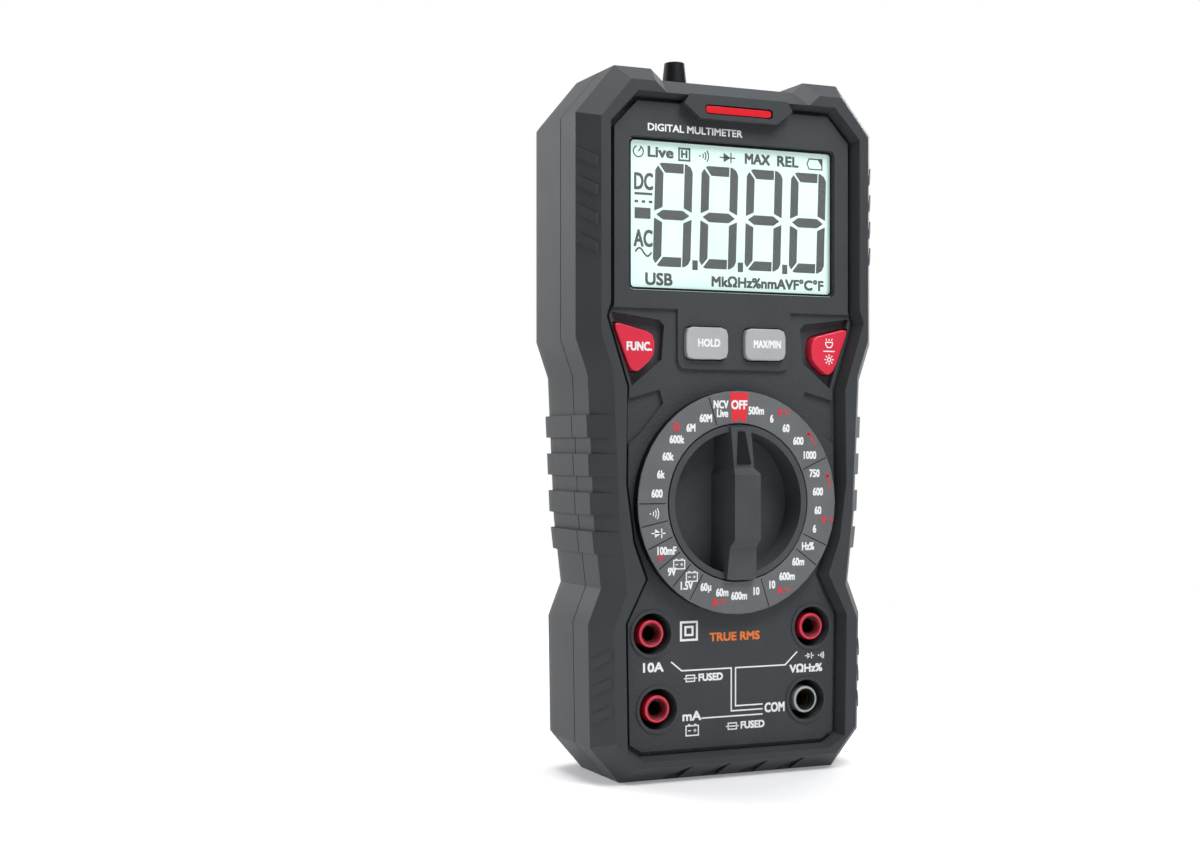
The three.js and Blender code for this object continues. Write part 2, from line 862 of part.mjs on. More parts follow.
function batteryTray() {
  const outer = box(-trayHalf, trayHalf, trayFloor - trayWall, cavityRear - gap, trayBottom, trayTop);
  const inner = box(
    -trayHalf + trayWall,
    trayHalf - trayWall,
    trayFloor,
    through,
    trayBottom + trayWall,
    trayTop - trayWall,
  );
  return outer.subtract(inner);
}

function cellContact(bottom) {
  const half = (cellCount * cellPitch) / 2;
  return box(-half, half, trayFloor + gap, cavityRear - gap - 0.5, bottom, bottom + contactThickness);
}

// ---------------------------------------------------------------- battery door
const doorHalf = trayHalf + 1;
const doorBottom = milliampFuseZ - clipHalf(milliampFuseRadius) - 1;
const doorTop = trayTop + 1;
const doorThickness = 1.9;
const doorHeadDepth = 1; // the screw's flat head sinks into the tab
const ledge = 1.8;
const doorFloor = recessFloor - doorThickness - gap;
const doorScrewZ = doorBottom - 3.4;
const doorTabHalf = 4;
const doorScrewTip = cavityRear - 5;

const doorOutline = mirrored([
  [doorHalf, doorTop],
  [doorHalf, doorBottom],
  [doorTabHalf, doorBottom],
  [doorTabHalf, doorScrewZ - doorTabHalf],
]);

function batteryDoor() {
  return prism(doorOutline, doorFloor + gap, recessFloor)
    .subtract(rod(screwShank + gap, 0, doorScrewZ, -through, through, 14))
    .subtract(rod(screwHead + gap, 0, doorScrewZ, recessFloor - doorHeadDepth, through, 16));
}

function doorScrew() {
  const head = rod(screwHead, 0, 0, recessFloor - doorHeadDepth + gap, recessFloor, 16);
  return head.add(rod(screwShank, 0, 0, doorScrewTip, recessFloor - doorHeadDepth + 0.5, 12));
}

// ---------------------------------------------------------------- stand
const standHalf = 25.2;
const standTipHalf = 16.5;
const standBottom = 6.6;
const standThickness = 3.5;
const standClearance = 0.5;
const hingeRadius = 1.75;
const hingeZ = 106.4;
const hingeDepth = caseDepth - hingeRadius - 0.05;
const pinRadius = 0.9;
const pinOverhang = 3;

const standOutline = mirrored([
  [standHalf, hingeZ],
  [standHalf, standBottom + 13.4],
  [standTipHalf + 2.8, standBottom + 7],
  [standTipHalf, standBottom],
]);
const standRecessOutline = mirrored([
  [standHalf + standClearance, hingeZ + hingeRadius + standClearance],
  [standHalf + standClearance, standBottom + 13.4],
  [standTipHalf + 4.6, standBottom + 7],
  [standTipHalf + 2.3, standBottom - standClearance],
]);

function kickstand() {
  const face = caseDepth;
  const panel = prism(standOutline, face - standThickness, face);
  const barrel = crossRod(hingeRadius, hingeDepth, hingeZ, -standHalf, standHalf);
  const bore = crossRod(pinRadius + gap, hingeDepth, hingeZ, -through, through, 12);
  const dish = prism(
    rounded(rectangle(-15.7, 15.7, standBottom + 25.3, hingeZ - 22.7), 3, 3),
    face - 1,
    through,
  );
  const bar = prism(
    rounded(rectangle(-12, 12, standBottom + 29.7, standBottom + 36.2), 2),
    face - 1.5,
    face - 0.2,
  );
  const notch = prism(
    mirrored([
      [9.2, standBottom + 14.2],
      [15, standBottom + 7.2],
    ]),
    face - 1.6,
    through,
  );
  const tabHeld = prism(rectangle(-16.7, 16.7, hingeZ - 9.6, hingeZ + 12), -through, through);
  const tabGroove = prism(rectangle(-17.6, 17.6, hingeZ - 10.5, hingeZ + 10.3), face - 0.6, through).subtract(
    tabHeld,
  );
  return panel.add(barrel).subtract(bore).subtract(dish).add(bar).subtract(notch).subtract(tabGroove);
}

// ---------------------------------------------------------------- hanging pad
const padHalf = 14.5;
const padGap = 2.1;
const padTop = windowTop - 0.1;
const padBottom = windowBottom + 9;
const padThickness = 3.4;
const padRecessFloor = cavityRear + 1.6;
const slotHalf = 13.5;
const slotTop = bodyHeight - 22.4;
const slotHeight = 4.3;
const keyhole = { smallRadius: 2.3, bigRadius: 4.2, drop: 6.5 };
const keyholeZ = slotTop - slotHeight - 5.9;

function hangingPad() {
  const front = caseDepth - padThickness;
  const plate = prism(rounded(rectangle(-padHalf, padHalf, padBottom, padTop), 1.5), front, caseDepth);
  const feet = bothSides.flatMap((side) =>
    [padBottom + 3, padTop - 3].map((z) => rod(1.6, side * (padHalf - 2.6), z, padRecessFloor + gap, front + 1, 10)),
  );
  const cuts = [
    box(-slotHalf, slotHalf, 0, through, slotTop - slotHeight, slotTop),
    rod(keyhole.smallRadius, 0, keyholeZ, 0, through, 16),
    rod(keyhole.bigRadius, 0, keyholeZ - keyhole.drop, 0, through, 20),
    box(-keyhole.smallRadius, keyhole.smallRadius, 0, through, keyholeZ - keyhole.drop, keyholeZ),
  ];
  return joined([plate, ...feet]).subtract(joined(cuts));
}

// ---------------------------------------------------------------- torch
const torchX = -6.5;
const torchDepth = 20;
const torchBase = 3.45;
const torchTip = 2.6;
const torchFlange = 0.5;
const torchTop = bodyHeight + 6;
const torchBore = 1.9;

// A piece turned about a vertical axis, from [radius, z] corners.
function uprightTurned(profile, facets = 20) {
  const points = profile.map(([radius, z]) => new THREE.Vector2(radius, z));
  const geometry = new THREE.LatheGeometry([...points, points[0]], facets);
  return solid(geometry.rotateX(Math.PI / 2));
}

function torchHood() {
  return uprightTurned([
    [torchBore, crownZ - 5],
    [torchBase + torchFlange, crownZ - 5],
    [torchBase + torchFlange, crownZ - 4],
    [torchBase, crownZ - 3.4],
    [torchBase, crownZ + 1],
    [torchTip, torchTop],
    [torchBore, torchTop],
  ]);
}

function torchLed() {
  const radius = torchBore - gap;
  return uprightTurned(
    [
      [0, crownZ - 5.3],
      [radius, crownZ - 5.3],
      [radius, torchTop - 1.6],
      [radius / 2, torchTop - 0.8],
      [0, torchTop - 0.6],
    ],
    14,
  );
}

// ---------------------------------------------------------------- rear case
const probeChannel = { inner: 20.2, outer: 26.6, floor: caseDepth - 5 };
const sideGroove = { inner: 31.9, outer: 34.5, floor: caseDepth - 3 };
const channelBottom = buttonZ + 2.5;
const channelTop = bodyHeight - 14;
const postRadius = 2.6;
const doorPostLength = 5;

function channels(side) {
  const span = ({ inner, outer, floor }) => {
    const [left, right] = side > 0 ? [inner, outer] : [-outer, -inner];
    return box(left, right, floor, through, channelBottom, channelTop);
  };
  const notchOutline = rectangle(probeChannel.inner, sideGroove.outer, windowBottom + 6, windowBottom + 9);
  const notch = prism(side > 0 ? notchOutline : flipped(notchOutline), sideGroove.floor, through);
  return joined([span(probeChannel), span(sideGroove), notch]);
}

function rearCase() {
  const back = box(-through, through, parting + gap, through, -through, bodyHeight + through);
  const cavityEdge = { inset: rearEdge.inset - wall, depth: rearEdge.depth - 3, steps: 1 };
  const cavity = edged(offset(bodyOutline, -wall), -through, cavityRear, cavityEdge);
  const posts = screwPlaces.map(([x, z]) => rod(postRadius, x, z, parting + gap, cavityRear + 1, 14));
  const doorPost = rod(postRadius, 0, doorScrewZ, cavityRear - doorPostLength, cavityRear + 0.5, 14);
  const shanks = screwPlaces.map(([x, z]) => rod(screwShank + gap, x, z, 0, through, 12));
  const heads = screwPlaces.map(([x, z]) => rod(screwHead + gap, x, z, headFloor, through, 16));
  const padRecess = prism(
    rectangle(-padHalf - padGap, padHalf + padGap, padBottom - padGap, padTop + gap),
    padRecessFloor,
    through,
  );
  const cuts = [
    prism(standRecessOutline, recessFloor, through),
    prism(offset(doorOutline, gap), doorFloor, through),
    box(-doorHalf + ledge, doorHalf - ledge, 0, through, doorBottom + ledge, doorTop - ledge),
    rod(screwShank + gap, 0, doorScrewZ, 0, through, 14),
    padRecess,
    crossRod(pinRadius + gap, hingeDepth, hingeZ, -standHalf - pinOverhang, standHalf + pinOverhang, 12),
    box(
      -lightWindowHalf - gap,
      lightWindowHalf + gap,
      cavityRear - 2,
      through,
      lightWindowBottom - gap,
      lightWindowTop + gap,
    ),
    uprightRod(torchBase + gap, torchX, torchDepth, crownZ - 5, crownZ + through),
    ...bothSides.map(channels),
  ];
  return outerBody
    .intersect(back)
    .subtract(cavity)
    .add(joined([...posts, doorPost]))
    .subtract(joined([...cuts, ...shanks, ...heads]));
}

// ---------------------------------------------------------------- assembly
add("front_case", frontCase(), casePlastic);
add("front_bumper", frontBumper(), bumperRubber);
add("rear_case", rearCase(), bumperRubber);
add("alarm_light_guide", alarmLightGuide(), redPlastic);
add("alarm_led", box(-1.5, 1.5, boardRear + gap, boardRear + 2.3, boardTop - 5, boardTop - 2), whitePlastic);

add("window_lens", prism(windowOutline(-gap), lensFront, lensRear - gap), clearPlastic);
add(
  "lcd_glass",
  prism(displayOutline, displayFront, displayFront + displayThickness),
  displayGlass,
);
add("lcd_frame", displayFrame(), blackPlastic);
add("lcd_connector", displayConnector(), contactRubber);
add("backlight", backlight(), whitePlastic);

add("dial_plate", dialPlate(), ringPlastic, 0, dialZ);
add("selector_knob", selectorKnob(), casePlastic, 0, dialZ);
add("knob_rotor", rotor(), whitePlastic, 0, dialZ);
add("wiper_upper", wiper(1), brass, 0, dialZ);
add("wiper_lower", wiper(-1), brass, 0, dialZ);

for (const each of buttons) add(each.name, button(each), each.material);
add("keypad", keypad(), contactRubber);

for (const { use, x, z, material } of sockets) {
  add(`${use}_socket_sleeve`, socketSleeve(), material, x, z);
  add(`${use}_socket_barrel`, socketBarrel(), brass, x, z);
}

add("main_board", mainBoard(), boardLaminate);
add(
  "controller_chip",
  box(-7, 7, boardRear + gap, boardRear + 1.7, windowBottom, windowBottom + 14),
  blackPlastic,
);
add("buzzer", buzzer(), blackPlastic, 21, windowBottom + 8);
add("shunt_wire", shuntWire(), brass);

for (let i = 0; i < cellCount; i += 1) {
  add(`battery_${i + 1}`, cell(), batteryWrap, (i - (cellCount - 1) / 2) * cellPitch, cellBottom);
}
add("battery_contact_lower", cellContact(cellBottom - contactThickness - gap), steel);
add("battery_contact_upper", cellContact(cellTop + gap), steel);
add("battery_tray", batteryTray(), blackPlastic);
for (const each of fuses) {
  add(each.name, fuse(each), ceramic, 0, each.z);
  for (const side of bothSides) {
    const end = side < 0 ? "left" : "right";
    add(`${each.name}_clip_${end}`, fuseClip(each), brass, side * (each.length / 2 - 3), each.z);
  }
}
add("battery_door", batteryDoor(), casePlastic);
add("door_screw", doorScrew(), steel, 0, doorScrewZ);

add("kickstand", kickstand(), casePlastic);
add(
  "stand_pin",
  crossRod(pinRadius, hingeDepth, hingeZ, -standHalf - pinOverhang + gap, standHalf + pinOverhang - gap, 12),
  steel,
);
add("hanging_pad", hangingPad(), casePlastic);
screwPlaces.forEach(([x, z], i) => add(`case_screw_${i + 1}`, caseScrew(), steel, x, z));

const torch = new THREE.Group();
torch.position.set(torchX, torchDepth, 0);
meter.add(torch);
for (const [name, shape, material] of [
  ["torch_hood", torchHood(), blackPlastic],
  ["torch_led", torchLed(), clearPlastic],
]) {
  const mesh = new THREE.Mesh(geometryOf(shape), material);
  mesh.name = name;
  torch.add(mesh);
}

export default meter;
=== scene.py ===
# Looks of a handheld digital multimeter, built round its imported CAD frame.
# Everything is in metres. The front faces -Y, +X is on the reader's right, +Z is up.
import json
import math

import bmesh
import bpy
from mathutils import Matrix, Vector


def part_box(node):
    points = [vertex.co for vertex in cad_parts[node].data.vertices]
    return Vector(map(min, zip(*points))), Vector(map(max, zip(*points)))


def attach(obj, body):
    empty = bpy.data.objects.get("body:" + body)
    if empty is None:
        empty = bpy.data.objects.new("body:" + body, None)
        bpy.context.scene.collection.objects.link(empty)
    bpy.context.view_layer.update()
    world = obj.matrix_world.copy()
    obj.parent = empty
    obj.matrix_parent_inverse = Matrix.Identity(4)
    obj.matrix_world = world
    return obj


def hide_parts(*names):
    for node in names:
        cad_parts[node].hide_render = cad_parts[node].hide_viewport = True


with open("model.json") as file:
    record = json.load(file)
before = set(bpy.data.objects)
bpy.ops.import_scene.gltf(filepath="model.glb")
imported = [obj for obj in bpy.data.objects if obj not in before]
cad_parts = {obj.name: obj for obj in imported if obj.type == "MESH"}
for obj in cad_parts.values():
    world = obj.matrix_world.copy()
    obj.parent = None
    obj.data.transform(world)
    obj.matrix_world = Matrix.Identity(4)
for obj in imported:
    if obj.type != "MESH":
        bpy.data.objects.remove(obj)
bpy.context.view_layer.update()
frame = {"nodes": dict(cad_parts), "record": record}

MM = 0.001


# ---------------------------------------------------------------- places taken from the frame
def middle(node):
    low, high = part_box(node)
    return [(a + b) / 2 for a, b in zip(low, high)]


def half_width(node):
    low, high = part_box(node)
    return (high[0] - low[0]) / 2


LENS_DEPTH = 0.35 * MM  # the lens lies this far behind the panel's face
lens_low, lens_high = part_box("window_lens")
panel_y = lens_low[1] - LENS_DEPTH
bezel_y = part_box("front_case")[0][1]
ring_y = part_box("dial_plate")[0][1]
dial_x, _, dial_z = middle("dial_plate")
ring_radius = half_width("dial_plate")
knob_radius = half_width("selector_knob")
SOCKETS = ("amp", "volt", "milliamp", "common")
PRINT = 0.03 * MM  # thickness of printed ink
LIFT = 0.02 * MM  # ink stands this far off its face
SAME_PLACE = 0.001 * MM  # points closer than this are one point


# ---------------------------------------------------------------- materials
GRAIN_HEIGHT = 0.2 * MM
CLOUD_SCALE = 90  # mottling, in clouds per metre
CLOUD_RANGE = (0.3, 0.7)  # noise values that give the darkest and the palest tint
GLOSS_SPREAD = 0.06  # roughness varies this far to each side


def new_material(name):
    material = bpy.data.materials.new(name)
    material.use_nodes = True
    return material, material.node_tree.nodes, material.node_tree.links


def grained(name, colour, roughness, grain_mm=0.35, grain_depth=0.25, mottle=0.12, coat=0.0, specular=0.5):
    """A moulded surface: fine spark grain, faint mottling and slightly uneven gloss."""
    material, nodes, links = new_material(name)
    shader = nodes["Principled BSDF"]
    place = nodes.new("ShaderNodeTexCoord")
    grain = nodes.new("ShaderNodeTexNoise")
    grain.inputs["Scale"].default_value = 1 / (grain_mm * MM)
    grain.inputs["Detail"].default_value = 3
    cloud = nodes.new("ShaderNodeTexNoise")
    cloud.inputs["Scale"].default_value = CLOUD_SCALE
    cloud.inputs["Detail"].default_value = 4
    tint = nodes.new("ShaderNodeValToRGB")
    tint.color_ramp.elements[0].position = CLOUD_RANGE[0]
    tint.color_ramp.elements[0].color = (*[c * (1 - mottle) for c in colour], 1)
    tint.color_ramp.elements[1].position = CLOUD_RANGE[1]
    tint.color_ramp.elements[1].color = (*[min(1, c * (1 + mottle)) for c in colour], 1)
    gloss = nodes.new("ShaderNodeMapRange")
    gloss.inputs["To Min"].default_value = roughness - GLOSS_SPREAD
    gloss.inputs["To Max"].default_value = min(1, roughness + GLOSS_SPREAD)
    bump = nodes.new("ShaderNodeBump")
    bump.inputs["Strength"].default_value = grain_depth
    bump.inputs["Distance"].default_value = GRAIN_HEIGHT
    links.new(place.outputs["Object"], grain.inputs["Vector"])
    links.new(place.outputs["Object"], cloud.inputs["Vector"])
    links.new(cloud.outputs["Fac"], tint.inputs["Fac"])
    links.new(tint.outputs["Color"], shader.inputs["Base Color"])
    links.new(cloud.outputs["Fac"], gloss.inputs["Value"])
    links.new(gloss.outputs["Result"], shader.inputs["Roughness"])
    links.new(grain.outputs["Fac"], bump.inputs["Height"])
    links.new(bump.outputs["Normal"], shader.inputs["Normal"])
    shader.inputs["Coat Weight"].default_value = coat
    shader.inputs["Specular IOR Level"].default_value = specular
    return material


def shader_of(material):
    return material.node_tree.nodes["Principled BSDF"]


def metal(name, colour, roughness):
    """Bare metal with fine scratches."""
    material = grained(name, colour, roughness, grain_mm=0.2, grain_depth=0.15, mottle=0.06)
    shader_of(material).inputs["Metallic"].default_value = 1
    return material


def clear(name, colour, roughness, alpha):
    """A thin clear moulding, with a trace of haze."""
    material = grained(name, colour, roughness, grain_mm=1.5, grain_depth=0.02, mottle=0.02)
    shader_of(material).inputs["Alpha"].default_value = alpha
    return material


def glowing(name, colour, roughness, strength):
    """A moulding with a painted glow: it gives off light though no lamp is inside it."""
    material = grained(name, colour, roughness, grain_mm=2.0, grain_depth=0.02, mottle=0.05)
    shader = shader_of(material)
    shader.inputs["Emission Color"].default_value = (*colour, 1)
    shader.inputs["Emission Strength"].default_value = strength
    return material


# each grained finish gives colour, roughness, grain size in mm, grain depth, mottling and coat
finishes = {
    "panel": grained("panel_grain", (0.048, 0.052, 0.056), 0.64, 0.45, 0.9, 0.07, specular=0.3),
    "bumper": grained("bumper_rubber", (0.044, 0.048, 0.052), 0.56, 0.5, 0.22, 0.06, specular=0.3),
    "case": grained("case_grain", (0.044, 0.048, 0.052), 0.58, 0.4, 0.4, 0.05, specular=0.3),
    "dial": grained("dial_grain", (0.135, 0.141, 0.146), 0.66, 0.45, 0.9, 0.1, specular=0.3),
    "knob": grained("knob_satin", (0.062, 0.067, 0.072), 0.42, 0.5, 0.2, 0.1, specular=0.3),
    "red": grained("red_key", (0.72, 0.022, 0.055), 0.38, 0.8, 0.1, 0.06, 0.2),
    # painted glow: the red light bar gives off light so that it reads bright, though nothing lights it
    "red_clear": glowing("red_light_bar_painted_glow", (0.66, 0.012, 0.02), 0.15, 0.08),
    "grey": grained("grey_key", (0.40, 0.405, 0.405), 0.5, 0.6, 0.2, 0.06),
    "black": grained("black_plastic", (0.006, 0.007, 0.008), 0.55, 0.5, 0.2, 0.1, specular=0.2),
    "white": grained("white_plastic", (0.8, 0.8, 0.78), 0.5, 0.8, 0.1, 0.03),
    "lens": clear("window_clear", (0.95, 1.0, 0.98), 0.04, 0.03),
    # painted glow: the display ground gives off light so that it reads bright behind the lens
    "display": glowing("display_painted_glow", (0.66, 0.86, 0.80), 0.35, 0.3),
    "segment": grained("display_ink", (0.060, 0.066, 0.068), 0.5, 0.6, 0.05, 0.05),
    "brass": metal("socket_brass", (0.72, 0.52, 0.22), 0.3),
    "steel": metal("plated_steel", (0.5, 0.51, 0.52), 0.32),
    # painted shade for the inner walls of the red sockets
    "painted_socket_shade": grained("socket_inside_painted_shade", (0.15, 0.005, 0.014), 0.5, 0.6, 0.1),
    "rubber": grained("contact_rubber", (0.5, 0.2, 0.25), 0.7),
    "board": grained("solder_mask", (0.02, 0.16, 0.06), 0.4, 0.6, 0.3),
    "wrap": grained("cell_wrap", (0.03, 0.035, 0.04), 0.35, 0.8, 0.1),
    "ceramic": grained("fuse_ceramic", (0.8, 0.76, 0.68), 0.5, 0.6, 0.2),
    "print_white": grained("white_ink", (0.85, 0.86, 0.86), 0.6, 0.3, 0.2, 0.03),
    "print_red": grained("red_ink", (0.75, 0.02, 0.035), 0.6, 0.3, 0.2, 0.04),
    "print_orange": grained("orange_ink", (0.82, 0.20, 0.03), 0.6, 0.3, 0.2, 0.04),
}
SLOT_FINISH = {
    "panel_plastic": "panel", "bumper": "bumper", "case_plastic": "case", "dial_plastic": "dial",
    "knob_plastic": "knob", "red_plastic": "red", "red_clear": "red_clear", "grey_plastic": "grey",
    "black_plastic": "black", "white_plastic": "white", "lens": "lens", "display": "display",
    "contact_rubber": "rubber", "contact_brass": "brass", "steel": "steel", "board": "board",
    "battery_wrap": "wrap", "ceramic": "ceramic",
}
slot_of = {row["node"]: row["material_slot"] for row in frame["record"]["subparts"]}
body_of = {node: body for body, group in frame["record"]["behaviour"]["bodies"].items() for node in group}


def dress_frame():
    """Every CAD node gets the finish of its slot."""
    for node, thing in frame["nodes"].items():
        thing.data.materials.clear()
        thing.data.materials.append(finishes[SLOT_FINISH[slot_of[node]]])


# ---------------------------------------------------------------- mesh helpers
FLAT_ANGLE = math.radians(1)  # faces that meet at less are one face
HARD_ANGLE = math.radians(25)  # edges that turn by more are rounded
SHARP_ANGLE = math.radians(40)  # edges that turn by more stay sharp in the shading


def piece_from(bm, name, finish, body, replaced=()):
    mesh = bpy.data.meshes.new(name)
    bm.to_mesh(mesh)
    bm.free()
    mesh.materials.append(finishes[finish])
    thing = bpy.data.objects.new(name, mesh)
    bpy.context.scene.collection.objects.link(thing)
    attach(thing, body)
    if replaced:
        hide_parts(*replaced)
    return thing


def smooth_faces(thing):
    thing.data.shade_smooth()
    thing.data.set_sharp_from_angle(angle=SHARP_ANGLE)
    weights = thing.modifiers.new("weights", "WEIGHTED_NORMAL")
    weights.keep_sharp = True


def softened(node, name, width):
    """A copy of a CAD node with its hard edges rounded, which stands for that node."""
    bm = bmesh.new()
    bm.from_mesh(frame["nodes"][node].data)
    bmesh.ops.remove_doubles(bm, verts=bm.verts, dist=SAME_PLACE)
    bmesh.ops.dissolve_limit(bm, angle_limit=FLAT_ANGLE, verts=bm.verts, edges=bm.edges)
    hard = [e for e in bm.edges if e.is_manifold and e.calc_face_angle(0) > HARD_ANGLE]
    bmesh.ops.bevel(
        bm, geom=hard, offset=width, affect="EDGES", segments=2, profile=0.5,
        material=-1, clamp_overlap=True, loop_slide=True,
    )
    thing = piece_from(bm, name, SLOT_FINISH[slot_of[node]], body_of[node], [node])
    smooth_faces(thing)
    return thing


def paint(thing, finish, chosen):
    """Gives the faces that chosen(centre, normal) picks a finish of their own."""
    thing.data.materials.append(finishes[finish])
    for face in thing.data.polygons:
        if chosen(face.center, face.normal):
            face.material_index = len(thing.data.materials) - 1


def inner_wall(node):
    """Picks the faces that look towards the node's own axis."""
    x, _, z = middle(node)
    return lambda centre, normal: (centre.x - x) * normal.x + (centre.z - z) * normal.z < -0.3 * MM


# ---------------------------------------------------------------- printing
CAP = 0.73  # height of a capital letter at size 1
LETTER_DEPTH = 0.02  # thickness of a letter at size 1
BOLD = [(-1, -1), (1, -1), (1, 1), (-1, 1)]  # a bold letter is four copies, each a little proud of the last
COPY_STEP = 0.005 * MM


def text_mesh(words):
    """Flat lettering of size 1 with its middle on the origin, in the XY plane."""
    curve = bpy.data.curves.new("letters", "FONT")
    curve.body = words
    curve.align_x = "CENTER"
    curve.align_y = "CENTER"
    curve.extrude = LETTER_DEPTH / 2
    curve.resolution_u = 3
    holder = bpy.data.objects.new("letters", curve)
    bpy.context.scene.collection.objects.link(holder)
    bpy.context.view_layer.update()
    depsgraph = bpy.context.evaluated_depsgraph_get()
    mesh = bpy.data.meshes.new_from_object(holder.evaluated_get(depsgraph))
    bpy.data.objects.remove(holder)
    return mesh


def print_on(bm, words, x, y, z, cap, *, bold, width=None, narrow=1):
    """Adds lettering that faces -Y, cap high, and either width across or narrowed by a share."""
    mesh = text_mesh(words)
    across = [v.co.x for v in mesh.vertices]
    span = max(across) - min(across)
    size = cap / CAP
    stretch = width / span if width else size * narrow
    turn = Matrix.Rotation(math.radians(90), 4, "X")
    shape = Matrix.Diagonal((stretch, size, PRINT / LETTER_DEPTH, 1))
    for i, (side, rise) in enumerate(BOLD):
        copy = mesh.copy()
        place = (x + side * bold, y - i * COPY_STEP, z + rise * bold)
        copy.transform(Matrix.Translation(place) @ turn @ shape)
        bm.from_mesh(copy)
        bpy.data.meshes.remove(copy)
    bpy.data.meshes.remove(mesh)


def thicken(bm, faces, thickness=PRINT):
    """Turns flat faces into a plate that rises towards -Y."""
    grown = bmesh.ops.extrude_face_region(bm, geom=faces)
    moved = [v for v in grown["geom"] if isinstance(v, bmesh.types.BMVert)]
    bmesh.ops.translate(bm, verts=moved, vec=(0, -thickness, 0))


def flat_shape(bm, outline, y):
    """Adds a thin plate of (x, z) corners that faces -Y."""
    corners = [bm.verts.new((x, y + PRINT / 2, z)) for x, z in outline]
    thicken(bm, [bm.faces.new(corners)])


def rectangle(x, z, w, h):
    """The corners of a rectangle that reaches w and h to each side of its middle."""
    return [(x - w, z - h), (x - w, z + h), (x + w, z + h), (x + w, z - h)]


def oblong(bm, x, z, width, height, y):
    flat_shape(bm, rectangle(x, z, width / 2, height / 2), y)


def stroke(bm, points, y, width):
    """Adds a printed line along (x, z) points, mitred at its bends; it closes if it ends at its start."""
    path = [Vector(point) for point in points]
    closed = (path[0] - path[-1]).length < SAME_PLACE
    if closed:
        path.pop()
    count = len(path)
    rungs = []
    for i, here in enumerate(path):
        into = here - path[i - 1]
        out = path[(i + 1) % count] - here
        if not closed and i == 0:
            into = out
        if not closed and i == count - 1:
            out = into
        along = (into.normalized() + out.normalized()).normalized()
        across = Vector((-along.y, along.x))
        cosine = max(0.4, along.dot(out.normalized()))  # limits how far a sharp bend reaches
        left = here + across * width / 2 / cosine
        right = here - across * width / 2 / cosine
        rungs.append([bm.verts.new((p.x, y + PRINT / 2, p.y)) for p in (left, right)])
    faces = []
    for i in range(count if closed else count - 1):
        (a, b), (c, d) = rungs[i], rungs[(i + 1) % count]
        faces.append(bm.faces.new((a, c, d, b)))
    thicken(bm, faces)


def closed_stroke(bm, points, y, width):
    stroke(bm, [*points, points[0]], y, width)


def arc(x, z, radius, start, end, steps):
    """Points round a centre, in degrees clockwise from the top."""
    turns = [math.radians(start + (end - start) * i / steps) for i in range(steps + 1)]
    return [(x + radius * math.sin(t), z + radius * math.cos(t)) for t in turns]


def dot(bm, x, z, radius, y):
    flat_shape(bm, arc(x, z, radius, 0, 360, 16)[:-1], y)


def finished_print(bm, name, finish, body):
    bmesh.ops.recalc_face_normals(bm, faces=bm.faces)
    return piece_from(bm, name, finish, body)


# ---------------------------------------------------------------- symbols, s is half their width
def sine_mark(bm, x, z, s, y, width):
    points = [(x + s * (i / 6 - 1), z + 0.45 * s * math.sin(math.pi * i / 6)) for i in range(13)]
    stroke(bm, points, y, width)


def direct_mark(bm, x, z, s, y, width):
    """A line over three dots."""
    stroke(bm, [(x - s, z + 0.4 * s), (x + s, z + 0.4 * s)], y, width)
    for place in (-0.8, 0, 0.8):
        oblong(bm, x + place * s, z - 0.4 * s, 0.4 * s, width, y)


def diode_mark(bm, x, z, s, y, width):
    stroke(bm, [(x - s, z), (x + s, z)], y, width)
    flat_shape(bm, [(x - 0.5 * s, z - 0.55 * s), (x - 0.5 * s, z + 0.55 * s), (x + 0.4 * s, z)], y)
    stroke(bm, [(x + 0.45 * s, z - 0.6 * s), (x + 0.45 * s, z + 0.6 * s)], y, width)


def sound_mark(bm, x, z, s, y, width):
    dot(bm, x - 0.8 * s, z, 0.75 * width, y)
    for radius in (0.6, 1.05, 1.5):
        stroke(bm, arc(x - 0.8 * s, z, radius * s, 55, 125, 6), y, width)


def cell_mark(bm, x, z, s, y, width):
    """A battery with its two poles."""
    h = 0.7 * s
    closed_stroke(bm, rectangle(x, z, s, h), y, width)
    for side in (-1, 1):
        oblong(bm, x + 0.5 * side * s, z + h + 0.8 * width, 0.4 * s, 1.2 * width, y)
        stroke(bm, [(x + 0.2 * side * s, z), (x + 0.7 * side * s, z)], y, 0.8 * width)
    stroke(bm, [(x + 0.45 * s, z - 0.25 * s), (x + 0.45 * s, z + 0.25 * s)], y, 0.8 * width)


def fuse_mark(bm, x, z, s, y, width):
    stroke(bm, [(x - s, z), (x + s, z)], y, width)
    closed_stroke(bm, rectangle(x, z, 0.65 * s, 0.42 * s), y, width)


def square_mark(bm, x, z, s, y, width):
    """One square inside another."""
    for half in (s, 0.45 * s):
        closed_stroke(bm, rectangle(x, z, half, half), y, width)


# ---------------------------------------------------------------- display
DIGIT_HALF = 5.15 * MM
DIGIT_RISE = 12.75 * MM  # half height
BAR = 2.4 * MM
CUT = 0.14 * MM  # half of the gap between two bars
LEAN = 0.03


